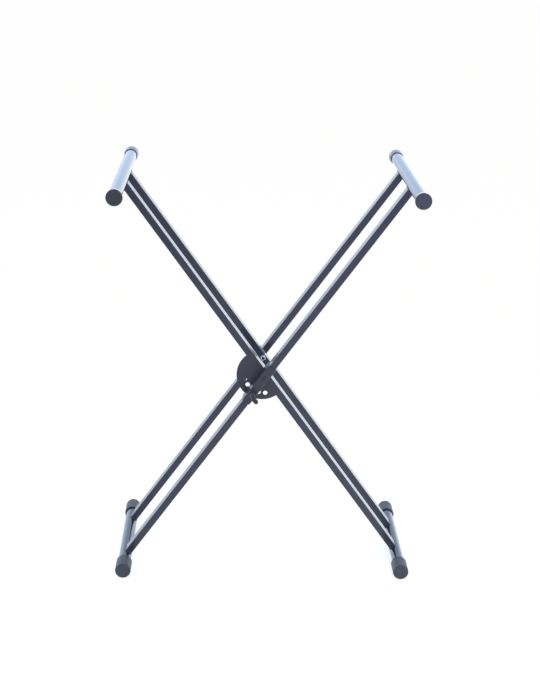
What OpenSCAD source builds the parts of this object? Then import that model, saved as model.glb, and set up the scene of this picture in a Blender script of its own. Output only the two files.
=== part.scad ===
// Folding X stand with two double-leg frames, crossing at a hub with a sprung lock.
// Millimetres. X to the right, Y from front to rear, Z up, origin on the floor at the middle.

/* [Frames] */
// Distance from the pivot up a leg to the axis of its support tube
leg_above = 522; // [430:1:560]
// Distance from the pivot down a leg to the axis of its foot tube
leg_below = 518; // [430:1:560]
// Lean of every leg from upright
lean = 36; // [30:0.5:42]
// Spread of the outer frame's two legs, centre to centre
outer_spread = 190; // [176:1:215]
// Length of a support tube over its end caps
support_len = 540; // [440:5:600]
// Length of a foot tube over its end caps
foot_len = 376; // [352:2:460]

/* [Leg tube] */
// Width of a leg tube, as seen from the front
leg_face = 15; // [14:0.5:18]
// Depth of a leg tube, front to rear
leg_deep = 30; // [26:1:36]
// Wall of a leg tube
leg_wall = 1.5; // [1.2:0.1:1.8]
// Outer corner radius of a leg tube
leg_corner = 1.8; // [1.6:0.1:3]

/* [Round tube] */
// Outside diameter of the support and foot tubes
tube_d = 27; // [24:0.5:29]
// Wall of the support and foot tubes
tube_wall = 1.5; // [1:0.1:2.5]

/* [Foot cap] */
// Outside diameter of a foot cap
foot_cap_d = 34; // [31:0.5:38]
// Length of a foot cap
foot_cap_len = 50; // [36:1:56]
// Thickness of a foot cap's closed end
foot_cap_end = 4; // [3:0.5:6]
// Edge radius of a foot cap's closed end
foot_cap_edge = 3.5; // [1.5:0.5:5]
// Number of grooves along a foot cap's grip
groove_count = 24; // [12:2:36]
// Width of one grip groove
groove_w = 1.8; // [1:0.1:2.4]
// Plain length left at each end of the grooves
groove_margin = 5; // [3:0.5:10]
// Radius round the mouth of a foot cap
foot_mouth_edge = 2; // [1:0.1:2.6]

/* [Support cap] */
// Outside diameter of a support tube's cap at its closed end
support_cap_d = 34.5; // [33:0.5:38]
// Wall of a support cap at its mouth, from where it widens to the closed end
support_cap_lip = 1.4; // [1:0.1:2.4]
// Length of a support tube's cap
support_cap_len = 24; // [16:1:36]
// Thickness of a support cap's closed end
support_cap_end = 3; // [2:0.5:6]
// Edge radius of a support cap's closed end
support_cap_edge = 1.5; // [0.8:0.1:4]
// Radius round the mouth of a support cap
support_lip_edge = 0.6; // [0.3:0.1:0.9]

/* [Hub channel] */
// Sheet thickness of the hub channel
channel_t = 2; // [1.5:0.1:3]
// Reach of the channel above the pivot, along the leg
channel_above = 30; // [24:1:45]
// Reach of the channel below the pivot, along the leg
channel_below = 68; // [62:1:80]
// Bend radius on the outside of the channel
channel_bend = 3; // [2.2:0.1:4]
// Corner radius at the ends of the channel
channel_corner = 3.5; // [2:0.5:6]
// Snipped corner radius at the rear ends of the channel's sides
flange_corner = 9; // [4:0.5:14]

/* [Lock plate] */
// Radius of the lock plate's round edge
plate_r = 56; // [52:0.5:62]
// Distance from the pivot to the round edge's centre, away from the leg's upper edge
plate_off = 4.2; // [2:0.2:6]
// Distance from the pivot to the round edge's centre, up along the leg
plate_up = 1.3; // [0:0.1:3]
// Thickness of the lock plate
plate_t = 2.5; // [2:0.1:4]
// Radius of the circle about the pivot that the index holes lie on
index_r = 43; // [41:0.5:46]
// Angle from one index hole to the next
index_step = 20; // [18:0.5:24]
// Diameter of an index hole
index_d = 10; // [9.6:0.1:11]
// Index holes on each side of the one in use
index_side = 2; // [1:1:2]

/* [Pivot] */
// Diameter of a pivot bolt's shank
bolt_d = 6; // [5:0.5:8]
// Diameter of a pivot bolt's domed head
head_d = 11; // [10:0.5:14]
// Height of a pivot bolt's domed head
head_h = 3.4; // [2.8:0.2:5]
// Width of the head's hexagon socket, across its flats
socket_af = 4; // [3:0.5:5]
// Depth of the head's hexagon socket
socket_deep = 2; // [1.2:0.1:2.4]
// Width of a pivot nut across its flats
nut_af = 10; // [9.5:0.5:12.5]
// Diameter of the round flange at the foot of a pivot nut
nut_flange_d = 12; // [11.5:0.5:16]
// Height of the flange
nut_flange_h = 1.2; // [0.8:0.1:2]
// Height of the nut's hexagon part, with the flange
nut_hex_h = 4.6; // [3.6:0.2:7]
// Height of the round locking collar on a pivot nut
nut_collar_h = 1.4; // [1:0.2:3]
// Diameter of the thrust washers between the frames
washer_d = 18; // [16:0.5:22]
// Thickness of the front thrust washer
washer_t = 1.2; // [0.8:0.1:2]

/* [Lock pin] */
// Diameter of the pin's nose, which enters an index hole
nose_d = 9; // [8:0.1:9.4]
// Length of the nose
nose_len = 12; // [8:0.5:14]
// Chamfer at the tip of the nose
nose_chamfer = 1.2; // [0.6:0.1:2]
// Diameter of the pin's rod
rod_d = 5; // [4.5:0.5:6]
// Outside diameter of the soft grip on the rod
grip_d = 10; // [9:0.5:12]
// Bare rod between the channel and the grip
grip_clear = 5; // [4:0.5:8]
// Reach of the bent tail's axis in front of the leg
tail_out = 30; // [28:1:50]
// Centreline radius of the rod's bend
bend_r = 7; // [6.5:0.5:10]
// Straight length of the grip's tail beyond the bend
tail_len = 4.3; // [1:0.1:14]
// Slope of the tail below square to the leg
tail_slope = 15; // [0:1:45]
// Clear space between the nose and the plate with the pin drawn
nose_clear = 0.5; // [0.3:0.1:1]
// Travel of the pin from its drawn place until its thick part meets the leg's wall
pull_travel = 4; // [2:0.5:6]

/* [Lock spring] */
// Wire diameter of the lock spring
wire_d = 1; // [0.8:0.1:1.2]
// Mean coil diameter of the lock spring
coil_d = 8; // [7.8:0.1:8.4]
// Number of turns
coil_turns = 6; // [4:1:8]

/* [Fits] */
// Gap at a welded or seated joint
seat = 0.1; // [0.05:0.01:0.2]
// Radial running clearance of a pin or bolt in its hole
run_fit = 0.08; // [0.04:0.01:0.1]
// Side clearance between the two frames at the pivots
side_gap = 0.3; // [0.3:0.05:0.5]
// Radial clearance of the lock pin's thick part inside the spring
spring_fit = 0.2; // [0.15:0.05:0.3]
// Free space across a leg's bore beside the bush in it
bush_play = 0.5; // [0.3:0.1:1]

/* [Hidden] */
$fn = 96;
// How far a cut runs past the face that it starts from
EPS = 1;

paint = "#1d1e24";
rubber = "#2b2c31";
zinc = "#b9bcc0";
nylon = "#3a3b40";

// Height of the pivot, with the foot caps on the floor
pivot_z = foot_cap_d / 2 + leg_below * cos(lean);

// Places from front to rear: half spreads and faces of the legs
leg_gap = washer_t + side_gap + plate_t;
outer_y = outer_spread / 2;
inner_y = outer_y - leg_deep - leg_gap;
outer_face = outer_y + leg_deep / 2;
outer_back = outer_y - leg_deep / 2;
inner_face = inner_y + leg_deep / 2;
inner_back = inner_y - leg_deep / 2;

// Bore of a leg tube, and the bush that just fits across it
bore_face = leg_face - 2 * leg_wall;
bore_deep = leg_deep - 2 * leg_wall;
bore_corner = max(leg_corner - leg_wall, 0.2);
bush_d = bore_face - bush_play;

// Hub channel, wrapped round the outer front leg
channel_in = leg_face + 2 * seat;
channel_w = channel_in + 2 * channel_t;
channel_deep = leg_deep + seat + channel_t;
web_face = outer_face + seat + channel_t;

// Lock pin, front to rear
nose_tip = inner_face + plate_t + nose_clear;
shoulder = nose_tip + nose_len;
wall_back = outer_face - leg_wall;
spring_len = wall_back - shoulder - 2 * seat;
stop_d = coil_d - wire_d - 2 * spring_fit;
grip_start = web_face + grip_clear;
tail_y = outer_face + tail_out;

// Nuts, and bolt ends a little inside the nuts' collars
nut_h = nut_hex_h + nut_collar_h;
nut_start = inner_back - side_gap;
bolt_recess = 0.6;
bolt_end = nut_start - nut_h + bolt_recess;

// The two leaning frames, each in its own leg's axes about the pivot
module on_outer() translate([0, 0, pivot_z]) rotate([0, lean, 0]) children();
module on_inner() translate([0, 0, pivot_z]) rotate([0, -lean, 0]) children();

// Rectangle with round corners, about its centre
module round_rect(w, h, r) {
    square([w - 2 * r, h], center = true);
    square([w, h - 2 * r], center = true);
    for (sx = [-1, 1], sy = [-1, 1])
        translate([sx * (w / 2 - r), sy * (h / 2 - r)]) circle(r);
}

// Round bar through y, from front to rear, centred on y and height z
module cross_bar(d, y, len, z = 0) {
    translate([0, y, z]) rotate([90, 0, 0]) cylinder(d = d, h = len, center = true);
}

// One hollow leg, coped at both ends to sit on its round tubes
module leg(y) {
    difference() {
        translate([0, y, -leg_below]) linear_extrude(leg_above + leg_below)
            difference() {
                round_rect(leg_face, leg_deep, leg_corner);
                round_rect(bore_face, bore_deep, bore_corner);
            }
        for (z = [leg_above, -leg_below])
            cross_bar(tube_d + 2 * seat, y, leg_deep + 2 * EPS, z);
    }
}

// Round tube from front to rear, with its ends inside the caps
module round_tube(total, cap_end) {
    len = total - 2 * (cap_end + seat);
    rotate([90, 0, 0]) difference() {
        cylinder(d = tube_d, h = len, center = true);
        cylinder(d = tube_d - 2 * tube_wall, h = len + 2 * EPS, center = true);
    }
}

// Bore of a cap for its tube, from the mouth at z = 0 up to the closed end
module cap_bore(len, end) {
    translate([0, 0, -EPS]) cylinder(d = tube_d + 2 * seat, h = len - end + EPS);
}

// Straight cap with grip grooves, standing on its mouth at z = 0 and closed at the top
module foot_cap() {
    r = foot_cap_d / 2;
    top = foot_cap_len - foot_cap_edge;
    pitch = 360 / groove_count;
    difference() {
        rotate_extrude() {
            square([r - foot_mouth_edge, top]);
            translate([0, foot_mouth_edge]) square([r, top - foot_mouth_edge]);
            translate([r - foot_mouth_edge, foot_mouth_edge]) circle(foot_mouth_edge);
            square([r - foot_cap_edge, foot_cap_len]);
            translate([r - foot_cap_edge, top]) circle(foot_cap_edge);
        }
        cap_bore(foot_cap_len, foot_cap_end);
        for (i = [0 : groove_count - 1])
            rotate([0, 0, (i + 0.5) * pitch]) translate([r, 0, groove_margin])
                cylinder(d = groove_w, h = foot_cap_len - 2 * groove_margin);
    }
}

// Plain cap that widens from its mouth at z = 0 to its closed end at the top
module support_cap() {
    mouth_r = tube_d / 2 + seat + support_cap_lip;
    low = [mouth_r - support_lip_edge, support_lip_edge];
    high = [support_cap_d / 2 - support_cap_edge, support_cap_len - support_cap_edge];
    span = high - low;
    // direction square to the side, which is tangent to both round edges
    turn = atan2(span[1], span[0]) - acos((support_lip_edge - support_cap_edge) / norm(span));
    out = [cos(turn), sin(turn)];
    difference() {
        rotate_extrude() {
            polygon([[0, 0], [low[0], 0], low + support_lip_edge * out,
                     high + support_cap_edge * out, [high[0], support_cap_len],
                     [0, support_cap_len]]);
            translate(low) circle(support_lip_edge);
            translate(high) circle(support_cap_edge);
        }
        cap_bore(support_cap_len, support_cap_end);
    }
}

// Stands a cap on the front (-1) or rear (1) end of a tube of the given length over caps
module at_end(side, total, cap_len) {
    translate([0, side * (total / 2 - cap_len), 0]) rotate([-side * 90, 0, 0]) children();
}

module foot_ends(side) at_end(side, foot_len, foot_cap_len) foot_cap();
module support_ends(side) at_end(side, support_len, support_cap_len) support_cap();

// Outer frame
module outer_front_leg() color(paint) on_outer() difference() {
    leg(-outer_y);
    cross_bar(bolt_d + 2 * run_fit, -outer_y, leg_deep + 2 * EPS);
    cross_bar(rod_d + 2 * run_fit, -outer_face, 2 * leg_wall + 2 * EPS, -index_r);
    cross_bar(nose_d + 2 * run_fit, -outer_back, 2 * leg_wall + 2 * EPS, -index_r);
}
module outer_rear_leg() color(paint) on_outer() difference() {
    leg(outer_y);
    cross_bar(bolt_d + 2 * run_fit, outer_y, leg_deep + 2 * EPS);
}
module outer_foot_tube() color(paint) on_outer()
    translate([0, 0, -leg_below]) round_tube(foot_len, foot_cap_end);
module outer_support_tube() color(paint) on_outer()
    translate([0, 0, leg_above]) round_tube(support_len, support_cap_end);
module outer_foot_cap(side) color(rubber) on_outer()
    translate([0, 0, -leg_below]) rotate([0, -lean, 0]) foot_ends(side);
module outer_support_cap(side) color(rubber) on_outer()
    translate([0, 0, leg_above]) support_ends(side);

// Inner frame
module inner_leg(y) color(paint) on_inner() difference() {
    leg(y);
    cross_bar(bush_d + 2 * seat, y, leg_deep + 2 * EPS);
}
module inner_foot_tube() color(paint) on_inner()
    translate([0, 0, -leg_below]) round_tube(foot_len, foot_cap_end);
module inner_support_tube() color(paint) on_inner()
    translate([0, 0, leg_above]) round_tube(support_len, support_cap_end);
module inner_foot_cap(side) color(rubber) on_inner()
    translate([0, 0, -leg_below]) rotate([0, lean, 0]) foot_ends(side);
module inner_support_cap(side) color(rubber) on_inner()
    translate([0, 0, leg_above]) support_ends(side);

// Bearing bush through both walls of an inner leg
module inner_bush(y) color(zinc) on_inner() difference() {
    cross_bar(bush_d, y, leg_deep);
    cross_bar(bolt_d + 2 * run_fit, y, leg_deep + 2 * EPS);
}

// Sleeve inside an outer leg, which keeps the bolt from crushing it
module leg_sleeve(y) color(zinc) on_outer() difference() {
    cross_bar(bush_d, y, bore_deep - 2 * seat);
    cross_bar(bolt_d + 2 * run_fit, y, bore_deep + 2 * EPS);
}

// U section of folded sheet, open towards the rear, with its web at y = 0
module channel_section() {
    inner_r = max(channel_bend - channel_t, 0.2);
    difference() {
        union() {
            translate([-channel_w / 2, channel_bend])
                square([channel_w, channel_deep - channel_bend]);
            translate([-channel_w / 2 + channel_bend, 0])
                square([channel_w - 2 * channel_bend, channel_bend + EPS]);
            for (s = [-1, 1])
                translate([s * (channel_w / 2 - channel_bend), channel_bend])
                    circle(channel_bend);
        }
        translate([-channel_in / 2, channel_t + inner_r]) square([channel_in, channel_deep]);
        translate([-channel_in / 2 + inner_r, channel_t])
            square([channel_in - 2 * inner_r, channel_deep]);
        for (s = [-1, 1])
            translate([s * (channel_in / 2 - inner_r), channel_t + inner_r]) circle(inner_r);
    }
}

module hub_channel() color(paint) on_outer() {
    span = channel_above + channel_below;
    mid = (channel_above - channel_below) / 2;
    difference() {
        intersection() {
            translate([0, -web_face, -channel_below]) linear_extrude(span) channel_section();
            // round corners at both ends, seen from the front
            translate([0, -outer_back + EPS, mid]) rotate([90, 0, 0])
                linear_extrude(channel_deep + 2 * EPS) round_rect(channel_w, span, channel_corner);
            // snipped rear corners of the sides, seen from the side
            translate([-channel_w / 2 - EPS, -web_face + channel_deep / 2 - flange_corner, mid])
                rotate([90, 0, 90]) linear_extrude(channel_w + 2 * EPS)
                    round_rect(channel_deep + 2 * flange_corner, span, flange_corner);
        }
        cross_bar(bolt_d + 2 * run_fit, -web_face, 2 * channel_t + 2 * EPS);
        cross_bar(rod_d + 2 * run_fit, -web_face, 2 * channel_t + 2 * EPS, -index_r);
    }
}

// D-shaped plate on the inner front leg, cut off flush with the leg's upper edge
module lock_plate() color(paint) on_inner()
    translate([0, -inner_face, 0]) rotate([90, 0, 0]) linear_extrude(plate_t) difference() {
        intersection() {
            translate([-plate_off, plate_up]) circle(plate_r);
            translate([leg_face / 2 - 2 * plate_r, -2 * plate_r])
                square([2 * plate_r, 4 * plate_r]);
        }
        circle(d = bolt_d + 2 * run_fit);
        // the middle hole lies behind the pin, below the pivot on the outer leg
        for (i = [-index_side : index_side])
            rotate(-90 - 2 * lean + i * index_step) translate([index_r, 0]) circle(d = index_d);
    }

// Domed bolt, head below z = 0 and shank up to z = len
module bolt(len) {
    head_r = head_d / 2;
    dome_r = (head_r * head_r + head_h * head_h) / (2 * head_h);
    point = 1; // chamfer at the shank's end
    difference() {
        union() {
            cylinder(d = bolt_d, h = len - point);
            translate([0, 0, len - point])
                cylinder(d1 = bolt_d, d2 = bolt_d - 2 * point, h = point);
            intersection() {
                translate([0, 0, -head_h]) cylinder(d = head_d, h = head_h);
                translate([0, 0, dome_r - head_h]) sphere(dome_r);
            }
        }
        translate([0, 0, -head_h - EPS])
            cylinder(d = socket_af / cos(30), h = socket_deep + EPS, $fn = 6);
    }
}

// Nut with its flange from z = 0, its hexagon on that and a round locking collar on top
module lock_nut() {
    corner_slope = 2; // run of the corners' chamfer for each unit of height
    collar_step = 0.4;
    collar_taper = 0.5;
    collar_r = nut_af / 2 - collar_step;
    difference() {
        union() {
            intersection() {
                cylinder(d = nut_af / cos(30), h = nut_hex_h, $fn = 6);
                cylinder(r1 = nut_af / 2 + corner_slope * nut_hex_h, r2 = nut_af / 2, h = nut_hex_h);
            }
            cylinder(d = nut_flange_d, h = nut_flange_h);
            translate([0, 0, nut_hex_h])
                cylinder(r1 = collar_r, r2 = collar_r - collar_taper, h = nut_collar_h);
        }
        translate([0, 0, -EPS]) cylinder(d = bolt_d + 2 * seat, h = nut_h + 2 * EPS);
    }
}

module front_pivot_bolt() color(paint) on_outer()
    translate([0, -web_face - seat, 0]) rotate([-90, 0, 0]) bolt(web_face + seat - bolt_end);
module rear_pivot_bolt() color(paint) on_outer()
    translate([0, outer_face + seat, 0]) rotate([90, 0, 0]) bolt(outer_face + seat - bolt_end);
module front_pivot_nut() color(zinc) on_outer()
    translate([0, -nut_start, 0]) rotate([-90, 0, 0]) lock_nut();
module rear_pivot_nut() color(zinc) on_outer()
    translate([0, nut_start, 0]) rotate([90, 0, 0]) lock_nut();

// Ring round a pivot bolt, on the inside face of an outer leg
module thrust_ring(side, t) color(nylon) on_outer() difference() {
    cross_bar(washer_d, side * (outer_back - t / 2), t);
    cross_bar(bolt_d + 2 * run_fit, side * (outer_back - t / 2), t + 2 * EPS);
}

// Bar from z = 0 up, bent over to +x, with its straight tail and round end
module bent_bar(d, rise, tail) {
    cylinder(d = d, h = rise);
    translate([bend_r, 0, rise]) rotate([90, 0, 0]) rotate([0, 0, 90])
        rotate_extrude(angle = 90) translate([bend_r, 0]) circle(d = d);
    translate([bend_r, 0, rise + bend_r]) rotate([0, 90, 0]) cylinder(d = d, h = tail);
    translate([bend_r + tail, 0, rise + bend_r]) sphere(d = d);
}

// Puts a bar that rises along z at distance y in front, running forward out of the leg
module on_pin(y) on_outer()
    translate([0, -y, -index_r]) rotate([0, tail_slope, 0]) rotate([90, 0, 0]) children();

module lock_pin() color(zinc) {
    on_pin(shoulder) bent_bar(rod_d, tail_y - bend_r - shoulder, tail_len);
    on_pin(shoulder) cylinder(d = stop_d, h = wall_back - pull_travel - shoulder);
    on_pin(nose_tip) {
        cylinder(d1 = nose_d - 2 * nose_chamfer, d2 = nose_d, h = nose_chamfer);
        translate([0, 0, nose_chamfer]) cylinder(d = nose_d, h = nose_len - nose_chamfer);
    }
}

module lock_pin_grip() color(rubber) difference() {
    on_pin(grip_start) bent_bar(grip_d, tail_y - bend_r - grip_start, tail_len);
    on_pin(grip_start - EPS) bent_bar(rod_d + 2 * seat, tail_y - bend_r - grip_start + EPS, tail_len);
}

// Round wire wound about z, as one closed tube
module coil(len, turns, mean_d, wire) {
    sides = 6;
    per_turn = 18;
    steps = turns * per_turn;
    rise = len - wire;
    points = [for (i = [0 : steps], k = [0 : sides - 1])
        let (a = 360 * i / per_turn, b = 360 * k / sides,
             r = mean_d / 2 + wire / 2 * cos(b),
             z = wire / 2 + rise * i / steps + wire / 2 * sin(b))
        [r * cos(a), r * sin(a), z]];
    last = steps * sides;
    skin = [for (i = [0 : steps - 1], k = [0 : sides - 1], half = [0, 1])
        let (n = (k + 1) % sides, p = i * sides)
        half == 0 ? [p + k, p + n, p + sides + k] : [p + n, p + sides + n, p + sides + k]];
    ends = [for (k = [1 : sides - 2], end = [0, 1])
        end == 0 ? [0, k + 1, k] : [last, last + k, last + k + 1]];
    polyhedron(points, concat(skin, ends));
}

module lock_spring() color(zinc)
    on_pin(shoulder + seat) coil(spring_len, coil_turns, coil_d, wire_d);

outer_front_leg();
outer_rear_leg();
outer_foot_tube();
outer_support_tube();
outer_foot_cap(-1);  // outer_front_foot_cap
outer_foot_cap(1);  // outer_rear_foot_cap
outer_support_cap(-1);  // outer_front_support_cap
outer_support_cap(1);  // outer_rear_support_cap
hub_channel();
front_pivot_bolt();
front_pivot_nut();
thrust_ring(-1, washer_t);  // front_thrust_washer
leg_sleeve(-outer_y);  // front_leg_sleeve
rear_pivot_bolt();
rear_pivot_nut();
thrust_ring(1, leg_gap - side_gap);  // rear_thrust_spacer
leg_sleeve(outer_y);  // rear_leg_sleeve
inner_leg(-inner_y);  // inner_front_leg
inner_leg(inner_y);  // inner_rear_leg
inner_foot_tube();
inner_support_tube();
inner_foot_cap(-1);  // inner_front_foot_cap
inner_foot_cap(1);  // inner_rear_foot_cap
inner_support_cap(-1);  // inner_front_support_cap
inner_support_cap(1);  // inner_rear_support_cap
lock_plate();
inner_bush(-inner_y);  // inner_front_bush
inner_bush(inner_y);  // inner_rear_bush
lock_pin();
lock_pin_grip();
lock_spring();
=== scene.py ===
"""A folding X stand for a xylophone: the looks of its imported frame, in metres."""
import math

import bpy
from mathutils import Matrix, Vector


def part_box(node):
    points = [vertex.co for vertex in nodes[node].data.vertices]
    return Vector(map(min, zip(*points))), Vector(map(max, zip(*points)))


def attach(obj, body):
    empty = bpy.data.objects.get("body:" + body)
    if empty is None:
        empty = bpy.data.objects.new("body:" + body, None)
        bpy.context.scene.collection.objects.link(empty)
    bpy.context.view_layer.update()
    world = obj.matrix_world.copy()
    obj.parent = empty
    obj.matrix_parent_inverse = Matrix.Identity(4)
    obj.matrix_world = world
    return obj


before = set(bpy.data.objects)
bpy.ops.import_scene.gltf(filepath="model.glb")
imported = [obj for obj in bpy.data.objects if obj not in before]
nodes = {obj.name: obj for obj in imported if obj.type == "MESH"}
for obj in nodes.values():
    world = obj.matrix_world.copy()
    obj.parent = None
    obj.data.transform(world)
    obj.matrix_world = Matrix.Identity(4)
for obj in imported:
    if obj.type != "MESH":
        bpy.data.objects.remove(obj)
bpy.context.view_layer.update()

# Legs
# Four lengths of 30 x 15 mm rectangular steel tube, cut and coped on a press. They are powder
# coated black in one go with the tubes that are welded across their ends, so the coat is a
# little textured like orange peel, thin at the corners and here and there lightly rubbed.


def new_material(name):
    """An empty material with a surface shader, and the point on the object that it is read at."""
    material = bpy.data.materials.new(name)
    material.use_nodes = True
    tree = material.node_tree
    shader = tree.nodes["Principled BSDF"]
    place = tree.nodes.new("ShaderNodeTexCoord").outputs["Object"]
    return material, tree, shader, place


def noise(tree, place, size, detail=3.0, roughness=0.5, stretch=None):
    """Grey noise with features of about size metres, drawn out where stretch is given."""
    if stretch:
        mapping = tree.nodes.new("ShaderNodeMapping")
        mapping.inputs["Scale"].default_value = stretch
        tree.links.new(place, mapping.inputs["Vector"])
        place = mapping.outputs["Vector"]
    node = tree.nodes.new("ShaderNodeTexNoise")
    node.inputs["Scale"].default_value = 1 / size
    node.inputs["Detail"].default_value = detail
    node.inputs["Roughness"].default_value = roughness
    tree.links.new(place, node.inputs["Vector"])
    return node.outputs["Fac"]


def spread(tree, value, low, high, to_low=0.0, to_high=1.0):
    """Stretches value from low..high onto to_low..to_high, and clamps it there."""
    node = tree.nodes.new("ShaderNodeMapRange")
    node.inputs["From Min"].default_value = low
    node.inputs["From Max"].default_value = high
    node.inputs["To Min"].default_value = to_low
    node.inputs["To Max"].default_value = to_high
    tree.links.new(value, node.inputs["Value"])
    return node.outputs["Result"]


def feed_colour(tree, colour, socket):
    """Feeds a colour, plain or from another node's socket, into a socket."""
    if isinstance(colour, bpy.types.NodeSocket):
        tree.links.new(colour, socket)
    else:
        socket.default_value = (*colour, 1)


def blend_colours(tree, share, first, second):
    """first where share is 0 and second where it is 1; each is a colour or a socket."""
    node = tree.nodes.new("ShaderNodeMix")
    node.data_type = "RGBA"
    tree.links.new(share, node.inputs["Factor"])
    feed_colour(tree, first, node.inputs["A"])
    feed_colour(tree, second, node.inputs["B"])
    return node.outputs["Result"]


def add_bump(tree, shader, heights):
    """Bumps the surface by (height socket, depth in metres, strength) triples, one on another."""
    normal = None
    for height, depth, strength in heights:
        bump = tree.nodes.new("ShaderNodeBump")
        bump.inputs["Distance"].default_value = depth
        bump.inputs["Strength"].default_value = strength
        tree.links.new(height, bump.inputs["Height"])
        if normal:
            tree.links.new(normal, bump.inputs["Normal"])
        normal = bump.outputs["Normal"]
    tree.links.new(normal, shader.inputs["Normal"])


def powder_coat(name, dark, light, rub, roughness, shine, coat, coat_ior, peel_size, peel_depth):
    """Black powder coat over steel: two close shades in soft clouds, a fine speck and light rubs."""
    cloud_size = 0.035
    speck_size = 0.0012
    rub_size = 0.03
    rub_stretch = (1.0, 2.5, 0.6)
    rub_share = 0.35
    rub_roughens = 0.14
    material, tree, shader, place = new_material(name)
    clouds = noise(tree, place, cloud_size, 4)
    specks = noise(tree, place, speck_size, 2)
    rubs = noise(tree, place, rub_size, 6, 0.7, stretch=rub_stretch)
    peel = noise(tree, place, peel_size, 2, 0.6)
    colour = blend_colours(tree, spread(tree, clouds, 0.3, 0.7), dark, light)
    colour = blend_colours(tree, spread(tree, specks, 0.62, 0.8, 0, rub_share), colour, rub)
    colour = blend_colours(tree, spread(tree, rubs, 0.62, 0.72, 0, rub_share), colour, rub)
    tree.links.new(colour, shader.inputs["Base Color"])
    worn = spread(tree, rubs, 0.55, 0.75, roughness, roughness + rub_roughens)
    tree.links.new(worn, shader.inputs["Roughness"])
    shader.inputs["Specular IOR Level"].default_value = shine
    shader.inputs["Coat Weight"].default_value = coat
    shader.inputs["Coat Roughness"].default_value = 0.09
    shader.inputs["Coat IOR"].default_value = coat_ior
    add_bump(tree, shader, [(peel, peel_depth, 0.5), (specks, peel_depth / 2, 0.2)])
    return material


def dress(node, material):
    """Gives a frame node its finish, in all its material slots."""
    piece = nodes[node]
    for place in piece.material_slots:
        place.material = material


leg_coat = powder_coat("leg_powder_coat", dark=(0.044, 0.047, 0.078), light=(0.055, 0.06, 0.096),
                       rub=(0.07, 0.074, 0.104), roughness=0.26, shine=0.22, coat=1.0,
                       coat_ior=1.38, peel_size=0.0016, peel_depth=0.00002)
for leg in ("outer_front_leg", "outer_rear_leg", "inner_front_leg", "inner_rear_leg"):
    dress(leg, leg_coat)
leg_shader = leg_coat.node_tree.nodes["Principled BSDF"]
leg_shader.inputs["Coat Roughness"].default_value = 0.13
leg_shader.inputs["Sheen Weight"].default_value = 0.7
leg_shader.inputs["Sheen Roughness"].default_value = 0.3

# Support tubes and foot tubes
# Round 27 mm steel tube across the ends of each pair of legs. The coat is the same batch, but it
# flows out smoother on the round tube and so has more gloss.

tube_coat = powder_coat("tube_powder_coat", dark=(0.019, 0.021, 0.03), light=(0.026, 0.029, 0.042),
                        rub=(0.05, 0.053, 0.068), roughness=0.24, shine=0.5, coat=1.0,
                        coat_ior=1.43, peel_size=0.0024, peel_depth=0.000006)
for tube in ("outer_support_tube", "outer_foot_tube", "inner_support_tube", "inner_foot_tube"):
    dress(tube, tube_coat)

# Weld beads
# Each leg end is coped to the round tube and welded all round, with a bead that shows the
# ripples of the torch. The beads lie under the same coat as the legs.

leg_face = 0.015
leg_corner = 0.0018
bead_radius = 0.0012
bead_off = 0.0002
bead_sides = 10
ripple_pitch = 0.0019
ripple_height = 0.00022
ripple_steps = 6


def outline_point(share, width, depth, radius):
    """Point and outward direction on a rounded rectangle, a share of the way round it."""
    straight_w, straight_d = width - 2 * radius, depth - 2 * radius
    arc = math.pi * radius / 2
    along = share * (2 * straight_w + 2 * straight_d + 4 * arc)
    corners = [(1, -1, 0), (1, 1, 90), (-1, 1, 180), (-1, -1, 270)]
    for i, (sx, sy, start) in enumerate(corners):
        straight = straight_d if i % 2 == 0 else straight_w
        out = Vector((math.cos(math.radians(start)), math.sin(math.radians(start))))
        forward = Vector((-out.y, out.x))
        centre = Vector((sx * straight_w / 2, sy * straight_d / 2))
        if along <= straight:
            return centre + out * radius + forward * along, out
        along -= straight
        if along <= arc or i == 3:
            turn = math.radians(start) + along / radius
            out = Vector((math.cos(turn), math.sin(turn)))
            after = Vector((corners[(i + 1) % 4][0] * straight_w / 2,
                            corners[(i + 1) % 4][1] * straight_d / 2))
            return after + out * radius, out
        along -= arc


def bead_size(along):
    """Radius of a bead at a distance along it, with the ripples of the torch."""
    return bead_radius - ripple_height * (1 - abs(math.sin(math.pi * along / ripple_pitch)))


def add_bead(verts, faces, stations, closed):
    """Skins a bead round (middle, side, top, radius) stations, as a ring or with shut ends."""
    first = len(verts)
    for middle, side, top, radius in stations:
        for k in range(bead_sides):
            turn = 2 * math.pi * k / bead_sides
            verts.append(middle + (side * math.cos(turn) + top * math.sin(turn)) * radius)
    count = len(stations)
    for i in range(count if closed else count - 1):
        here, there = first + i * bead_sides, first + (i + 1) % count * bead_sides
        for k in range(bead_sides):
            up = (k + 1) % bead_sides
            faces.append((here + k, here + up, there + up, there + k))
    if not closed:
        last = first + (count - 1) * bead_sides
        faces.append(tuple(first + k for k in reversed(range(bead_sides))))
        faces.append(tuple(last + k for k in range(bead_sides)))


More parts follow.
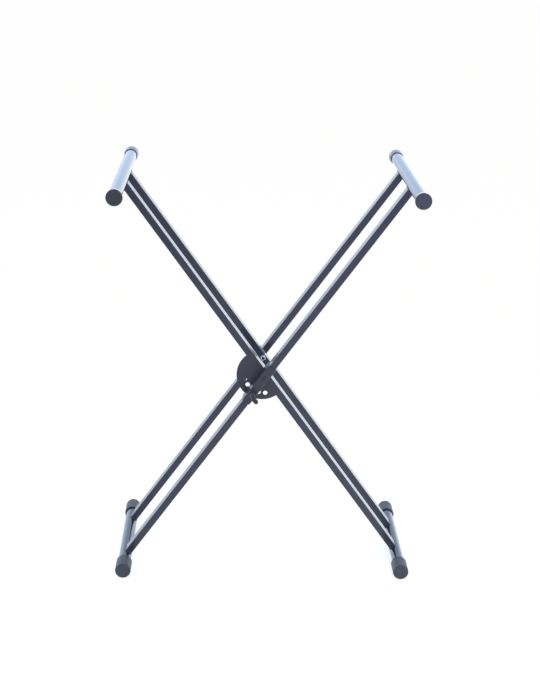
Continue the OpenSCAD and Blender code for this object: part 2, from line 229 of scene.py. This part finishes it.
def weld_bead(verts, faces, leg, tube):
    """Adds a rippled bead round the end of a leg, where it meets a round tube."""
    leg_low, leg_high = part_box(leg)
    tube_low, tube_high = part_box(tube)
    radius = (tube_high.x - tube_low.x) / 2
    tube_axis = (tube_low + tube_high) / 2
    leg_middle = (leg_low + leg_high) / 2
    depth = leg_high.y - leg_low.y
    to_tube = Vector((tube_axis.x - leg_middle.x, 0, tube_axis.z - leg_middle.z)).normalized()
    across = Vector((to_tube.z, 0, -to_tube.x))
    centre = Vector((tube_axis.x, leg_middle.y, tube_axis.z))
    outline_length = 2 * (leg_face + depth) - (8 - 2 * math.pi) * leg_corner
    ripples = round(outline_length / ripple_pitch)
    stations = []
    for i in range(ripples * ripple_steps):
        share = i / (ripples * ripple_steps)
        flat, out = outline_point(share, leg_face, depth, leg_corner)
        off_tube = (across * flat.x - to_tube * math.sqrt(radius ** 2 - flat.x ** 2)) / radius
        off_leg = across * out.x + Vector((0, out.y, 0))
        side = (off_leg - off_tube * off_leg.dot(off_tube)).normalized()
        middle = (centre + off_tube * (radius + bead_off) + Vector((0, flat.y, 0))
                  + off_leg * bead_off)
        stations.append((middle, side, off_tube, bead_size(share * ripples * ripple_pitch)))
    add_bead(verts, faces, stations, closed=True)


def smooth_piece(name, verts, faces, material, body):
    """Makes a smooth-shaded mesh piece that rides on a body."""
    mesh = bpy.data.meshes.new(name)
    mesh.from_pydata([tuple(v) for v in verts], [], faces)
    mesh.materials.append(material)
    mesh.polygons.foreach_set("use_smooth", [True] * len(mesh.polygons))
    mesh.update()
    piece = bpy.data.objects.new(name, mesh)
    bpy.context.scene.collection.objects.link(piece)
    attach(piece, body)


for side in ("outer", "inner"):
    for tube in ("support_tube", "foot_tube"):
        verts, faces = [], []
        for leg in ("front_leg", "rear_leg"):
            weld_bead(verts, faces, f"{side}_{leg}", f"{side}_{tube}")
        smooth_piece(f"{side}_{tube}_welds", verts, faces, leg_coat, f"{side}_frame")

# Foot caps
# Thick rubber caps pushed over the ends of the foot tubes, with grooves along them for grip.
# They are moulded, with a soft skin, and a little dusty where they stand on the floor.


def rubber(name, dark, light, dust, painted_sheen, roughness, grain_size, grain_depth, dust_height):
    """Moulded rubber: a fine grain, a painted pale sheen where it turns away, dust low over the
    floor.
    """
    cloud_size = 0.012
    patch_size = 0.006
    # Light grey of the painted sheen at grazing angles
    painted_sheen_colour = (0.62, 0.6, 0.56)
    material, tree, shader, place = new_material(name)
    clouds = noise(tree, place, cloud_size, 4)
    grain = noise(tree, place, grain_size, 3, 0.6)
    patches = noise(tree, place, patch_size, 5, 0.65)
    colour = blend_colours(tree, spread(tree, clouds, 0.3, 0.7), dark, light)
    split = tree.nodes.new("ShaderNodeSeparateXYZ")
    tree.links.new(place, split.inputs["Vector"])
    low = spread(tree, split.outputs["Z"], 0.0, dust_height, 1.0, 0.0)
    dusty = tree.nodes.new("ShaderNodeMath")
    dusty.operation = "MULTIPLY"
    tree.links.new(low, dusty.inputs[0])
    tree.links.new(spread(tree, patches, 0.4, 0.7, 0.1, 0.8), dusty.inputs[1])
    colour = blend_colours(tree, dusty.outputs["Value"], colour, dust)
    # Painted sheen: the colour pales toward a light grey where the surface is seen at a grazing
    # angle.
    turned = tree.nodes.new("ShaderNodeLayerWeight")
    turned.inputs["Blend"].default_value = 0.5
    away = spread(tree, turned.outputs["Facing"], 0.5, 1.0, 0.0, painted_sheen)
    colour = blend_colours(tree, away, colour, painted_sheen_colour)
    tree.links.new(colour, shader.inputs["Base Color"])
    tree.links.new(spread(tree, patches, 0.3, 0.7, roughness - 0.06, roughness + 0.08),
                   shader.inputs["Roughness"])
    shader.inputs["Specular IOR Level"].default_value = 0.45
    shader.inputs["Sheen Weight"].default_value = 0.08
    shader.inputs["Sheen Roughness"].default_value = 0.4
    add_bump(tree, shader, [(grain, grain_depth, 0.6)])
    return material


# A light painted sheen pales the foot caps' colour at grazing angles.
foot_rubber = rubber("foot_cap_rubber", dark=(0.042, 0.045, 0.066), light=(0.057, 0.061, 0.086),
                     dust=(0.12, 0.12, 0.125), painted_sheen=0.25, roughness=0.5,
                     grain_size=0.0009, grain_depth=0.00008, dust_height=0.012)
foot_shader = foot_rubber.node_tree.nodes["Principled BSDF"]
foot_shader.inputs["Coat Weight"].default_value = 0.4
foot_shader.inputs["Coat Roughness"].default_value = 0.32
for end in ("outer_front", "outer_rear", "inner_front", "inner_rear"):
    dress(f"{end}_foot_cap", foot_rubber)

# Support caps
# Short caps on the ends of the support tubes, a little wider at their flat closed end than at the
# mouth. They are moulded in a hard smooth rubber, whose skin has the gloss of the polished mould.

# A strong painted sheen pales the support caps' colour where they are seen at a grazing angle.
cap_rubber = rubber("support_cap_rubber", dark=(0.03, 0.031, 0.044), light=(0.04, 0.042, 0.057),
                    dust=(0.1, 0.1, 0.1), painted_sheen=0.5, roughness=0.3,
                    grain_size=0.0012, grain_depth=0.00002, dust_height=0.001)
cap_shader = cap_rubber.node_tree.nodes["Principled BSDF"]
cap_shader.inputs["Coat Weight"].default_value = 1.0
cap_shader.inputs["Coat Roughness"].default_value = 0.16
for end in ("outer_front", "outer_rear", "inner_front", "inner_rear"):
    dress(f"{end}_support_cap", cap_rubber)

# Hub channel
# A U of 2 mm sheet steel, folded round the outer front leg at the hub and clamped there by the
# pivot bolt. Its coat is more matt than the tubes' and rubbed where hands reach for the pin.

channel_coat = powder_coat("channel_powder_coat", dark=(0.044, 0.043, 0.066),
                           light=(0.056, 0.056, 0.08), rub=(0.085, 0.087, 0.102), roughness=0.3,
                           shine=0.4, coat=0.3, coat_ior=1.4, peel_size=0.0014,
                           peel_depth=0.00005)
dress("hub_channel", channel_coat)

# Lock plate
# A D-shaped plate of 2.5 mm steel, punched with five index holes. It lies on the inner front leg,
# cut off along the leg's upper edge, and a fillet bead at each end of its round edge holds it.

plate_coat = powder_coat("plate_powder_coat", dark=(0.05, 0.048, 0.07), light=(0.062, 0.059, 0.084),
                         rub=(0.09, 0.088, 0.1), roughness=0.4, shine=0.4, coat=0.25,
                         coat_ior=1.4, peel_size=0.0014, peel_depth=0.00007)
dress("lock_plate", plate_coat)

lean = math.radians(36)
up_leg = Vector((-math.sin(lean), 0, math.cos(lean)))
across_leg = Vector((math.cos(lean), 0, math.sin(lean)))
to_front = Vector((0, -1, 0))
bolt_low, bolt_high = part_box("front_pivot_bolt")
plate_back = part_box("lock_plate")[1].y
pivot = Vector(((bolt_low.x + bolt_high.x) / 2, plate_back, (bolt_low.z + bolt_high.z) / 2))
round_off = 0.0042       # from the pivot to the round edge's centre, away from the leg's upper edge
round_up = 0.0013        # and up along the leg
round_radius = 0.056
fillet_steps = 42
fillet_taper = 5         # steps in which a fillet runs out at each end
fillet_off = 0.0004      # off the plate's round edge
fillet_lift = 0.0005     # off the leg, to the front
round_centre = pivot - across_leg * round_off + up_leg * round_up
verts, faces = [], []
for end in (1, -1):
    stations = []
    for i in range(fillet_steps + 1):
        along = i * ripple_pitch / ripple_steps
        across = along - fillet_steps / 2 * ripple_pitch / ripple_steps + round_off
        out = across_leg * across + up_leg * end * math.sqrt(round_radius ** 2 - across ** 2)
        out.normalize()
        taper = math.sqrt(min(1, (min(i, fillet_steps - i) + 0.5) / fillet_taper))
        middle = round_centre + out * (round_radius + fillet_off) + to_front * fillet_lift
        stations.append((middle, out * end, to_front, bead_size(along) * taper))
    add_bead(verts, faces, stations, closed=False)
smooth_piece("lock_plate_welds", verts, faces, leg_coat, "inner_frame")

# Pivot bolts, nuts and rings
# Two M6 bolts with domed heads, blacked, with zinc-plated lock nuts between the legs. Nylon
# rings keep the frames apart, and plain steel sleeves and bushes sit inside the legs.


def bare_metal(name, dark, light, roughness, line_size, stretch=(1, 1, 1)):
    """Bare or plated steel with fine drawn lines and cloudy stains."""
    cloud_size = 0.004
    line_depth = 0.00003
    material, tree, shader, place = new_material(name)
    clouds = noise(tree, place, cloud_size, 4)
    lines = noise(tree, place, line_size, 3, 0.6, stretch=stretch)
    colour = blend_colours(tree, spread(tree, clouds, 0.3, 0.7), dark, light)
    tree.links.new(colour, shader.inputs["Base Color"])
    shader.inputs["Metallic"].default_value = 1.0
    tree.links.new(spread(tree, lines, 0.3, 0.7, roughness - 0.08, roughness + 0.1),
                   shader.inputs["Roughness"])
    add_bump(tree, shader, [(lines, line_depth, 0.35)])
    return material


black_oxide = powder_coat("black_oxide", dark=(0.02, 0.02, 0.024), light=(0.03, 0.03, 0.034),
                          rub=(0.12, 0.12, 0.125), roughness=0.34, shine=0.5, coat=0.2,
                          coat_ior=1.5, peel_size=0.0007, peel_depth=0.00003)
zinc = bare_metal("zinc_plate", dark=(0.72, 0.73, 0.74), light=(0.85, 0.86, 0.87), roughness=0.3,
                  line_size=0.0006)
drawn_steel = bare_metal("drawn_steel", dark=(0.4, 0.4, 0.41), light=(0.56, 0.56, 0.57),
                         roughness=0.34, line_size=0.0008, stretch=(1, 0.15, 1))
spring_wire = bare_metal("spring_wire", dark=(0.34, 0.34, 0.35), light=(0.48, 0.48, 0.49),
                         roughness=0.36, line_size=0.0006)
# The nylon gets a faint painted sheen at grazing angles.
nylon = rubber("black_nylon", dark=(0.04, 0.04, 0.043), light=(0.055, 0.055, 0.058),
               dust=(0.08, 0.08, 0.08), painted_sheen=0.05, roughness=0.45, grain_size=0.0006,
               grain_depth=0.00003, dust_height=0.001)
for place in ("front", "rear"):
    dress(f"{place}_pivot_bolt", black_oxide)
    dress(f"{place}_pivot_nut", zinc)
    dress(f"{place}_leg_sleeve", drawn_steel)
    dress(f"inner_{place}_bush", drawn_steel)
dress("front_thrust_washer", nylon)
dress("rear_thrust_spacer", nylon)

# Lock pin, grip and spring
# A turned steel pin with a thick nose, bent over at its outer end and dipped in soft vinyl. A
# wire spring inside the leg pushes it in.

# The vinyl gets a light painted sheen at grazing angles.
grip_vinyl = rubber("grip_vinyl", dark=(0.034, 0.034, 0.05), light=(0.045, 0.046, 0.063),
                    dust=(0.1, 0.1, 0.1), painted_sheen=0.15, roughness=0.42, grain_size=0.0009,
                    grain_depth=0.00004, dust_height=0.001)
dress("lock_pin", drawn_steel)
dress("lock_pin_grip", grip_vinyl)
dress("lock_spring", spring_wire)

# Studio
# A wide white floor under a white sky, with soft light from the front and above. Gloss mirrors a
# pale blue floor and sky that are brighter on the right, and all other rays are lit by a plain
# white sky. The camera sees white, with a light tint in the shade under the stand.

floor_half = 30.0
floor_mesh = bpy.data.meshes.new("studio_floor")
floor_mesh.from_pydata([(-floor_half, -floor_half, 0), (floor_half, -floor_half, 0),
                        (floor_half, floor_half, 0), (-floor_half, floor_half, 0)], [],
                       [(0, 1, 2, 3)])
floor = bpy.data.objects.new("studio_floor", floor_mesh)
bpy.context.scene.collection.objects.link(floor)

floor_paper = bpy.data.materials.new("floor_paper")
floor_paper.use_nodes = True
paper = floor_paper.node_tree
paper.nodes.clear()
spot = paper.nodes.new("ShaderNodeSeparateXYZ")
paper.links.new(paper.nodes.new("ShaderNodeTexCoord").outputs["Object"], spot.inputs["Vector"])


def lit_and_shaded(glow, matt_colour):
    """A surface that glows in a colour, and takes shadows as far as its matt part is lit."""
    both = paper.nodes.new("ShaderNodeAddShader")
    for i, (kind, colour) in enumerate((("ShaderNodeEmission", glow),
                                        ("ShaderNodeBsdfDiffuse", matt_colour))):
        part = paper.nodes.new(kind)
        feed_colour(paper, colour, part.inputs["Color"])
        paper.links.new(part.outputs[0], both.inputs[i])
    return both.outputs[0]


def by_ray(tree, lit, mirrored, seen):
    """A shader of three: seen by the camera, mirrored in gloss, and lit for all other rays."""
    ray = tree.nodes.new("ShaderNodeLightPath")
    shader = lit
    for kind, other in (("Is Glossy Ray", mirrored), ("Is Camera Ray", seen)):
        mix = tree.nodes.new("ShaderNodeMixShader")
        tree.links.new(ray.outputs[kind], mix.inputs["Fac"])
        tree.links.new(shader, mix.inputs[1])
        tree.links.new(other, mix.inputs[2])
        shader = mix.outputs[0]
    return shader


# The mirrored floor: left and right of the stand, past it, and from the stand to the camera
to_right = spread(paper, spot.outputs["X"], -0.4, 0.4)
past_stand = spread(paper, spot.outputs["Y"], 0.3, 1.2)
to_camera = spread(paper, spot.outputs["Y"], -0.8, -3.5)
right_glow = blend_colours(paper, past_stand, (0.58, 0.63, 0.75), (0.72, 0.76, 0.88))
stand_glow = blend_colours(paper, to_right, (0.22, 0.33, 0.49), right_glow)
camera_glow = blend_colours(paper, to_right, (0.1, 0.12, 0.2), (0.4, 0.5, 0.9))
mirrored_floor = lit_and_shaded(
    blend_colours(paper, to_camera, stand_glow, camera_glow),
    blend_colours(paper, to_camera, (0.8, 0.8, 0.8), (0.4, 0.4, 0.4)))

# The seen floor: tinted shade under the stand, and hardly any shade behind it
behind = spread(paper, spot.outputs["Y"], 0.3, 0.9)
seen_floor = lit_and_shaded(
    blend_colours(paper, behind, (0.7, 0.83, 0.87), (0.88, 0.88, 0.88)),
    blend_colours(paper, behind, (0.63, 0.38, 0.3), (0.18, 0.18, 0.17)))

matt = paper.nodes.new("ShaderNodeBsdfDiffuse")
matt.inputs["Color"].default_value = (0.86, 0.87, 0.89, 1)
floor_out = paper.nodes.new("ShaderNodeOutputMaterial")
paper.links.new(by_ray(paper, matt.outputs[0], mirrored_floor, seen_floor),
                floor_out.inputs["Surface"])
floor_mesh.materials.append(floor_paper)

world = bpy.data.worlds.new("studio_sky")
bpy.context.scene.world = world
world.use_nodes = True
sky = world.node_tree
sky.nodes.clear()
toward = sky.nodes.new("ShaderNodeSeparateXYZ")
sky.links.new(sky.nodes.new("ShaderNodeTexCoord").outputs["Generated"], toward.inputs["Vector"])


def sky_light(colour, strength=1.0):
    """A sky that glows in a colour, plain or from a socket."""
    glow = sky.nodes.new("ShaderNodeBackground")
    feed_colour(sky, colour, glow.inputs["Color"])
    glow.inputs["Strength"].default_value = strength
    return glow.outputs[0]


# The mirrored sky, from the horizon up
to_right = spread(sky, toward.outputs["X"], -0.15, 0.2)
low = blend_colours(sky, to_right, (1.0, 1.1, 1.35), (1.12, 1.22, 1.38))
middle = blend_colours(sky, spread(sky, toward.outputs["Z"], 0.03, 0.17), low, (0.84, 1.1, 1.46))
high = blend_colours(sky, spread(sky, toward.outputs["Z"], 0.17, 0.45), middle, (0.6, 0.76, 1.1))
sky_out = sky.nodes.new("ShaderNodeOutputWorld")
sky.links.new(by_ray(sky, sky_light((0.97, 0.985, 1), 0.62), sky_light(high), sky_light((1, 1, 1))),
              sky_out.inputs["Surface"])


def soft_box(name, place, aim, width, height, radiance, colour):
    """Hangs a rectangular studio light, turned to aim and not itself seen by the camera."""
    light = bpy.data.lights.new(name, "AREA")
    light.shape = "RECTANGLE"
    light.size, light.size_y = width, height
    light.energy = radiance * math.pi * width * height
    light.color = colour
    lamp = bpy.data.objects.new(name, light)
    lamp.location = place
    lamp.rotation_euler = (Vector(aim) - Vector(place)).to_track_quat("-Z", "Y").to_euler()
    lamp.visible_camera = False
    bpy.context.scene.collection.objects.link(lamp)


soft_box("key_light", place=(1.8, -2.4, 3.2), aim=(0, 0, 0.4), width=2.8, height=2.8,
         radiance=0.75, colour=(1, 0.99, 0.98))
soft_box("top_light", place=(-0.6, 0.8, 3.0), aim=(0, 0, 0.4), width=2.0, height=2.0,
         radiance=0.5, colour=(0.95, 0.98, 1))

# Camera
# At the photograph's place: a little left of the middle, at about eye height, looking down.
# Its turn is given by how far it looks to the right and down, and how far it is tipped.

camera_place = (-0.0752, -3.2378, 1.4323)
camera_yaw, camera_down, camera_roll = (math.radians(a) for a in (1.578, 16.583, 0.996))
camera_data = bpy.data.cameras.new("camera")
camera_data.sensor_width = 36.0
camera_data.lens = 78.2
camera = bpy.data.objects.new("camera", camera_data)
look = Vector((math.sin(camera_yaw) * math.cos(camera_down),
               math.cos(camera_yaw) * math.cos(camera_down), -math.sin(camera_down)))
right = Vector((math.cos(camera_yaw), -math.sin(camera_yaw), 0))
up = right.cross(look)
right, up = (right * math.cos(camera_roll) + up * math.sin(camera_roll),
             up * math.cos(camera_roll) - right * math.sin(camera_roll))
turn = Matrix((right, up, -look)).transposed()
camera.matrix_world = Matrix.Translation(camera_place) @ turn.to_4x4()
bpy.context.scene.collection.objects.link(camera)
bpy.context.scene.camera = camera
bpy.context.scene.view_settings.view_transform = "Standard"
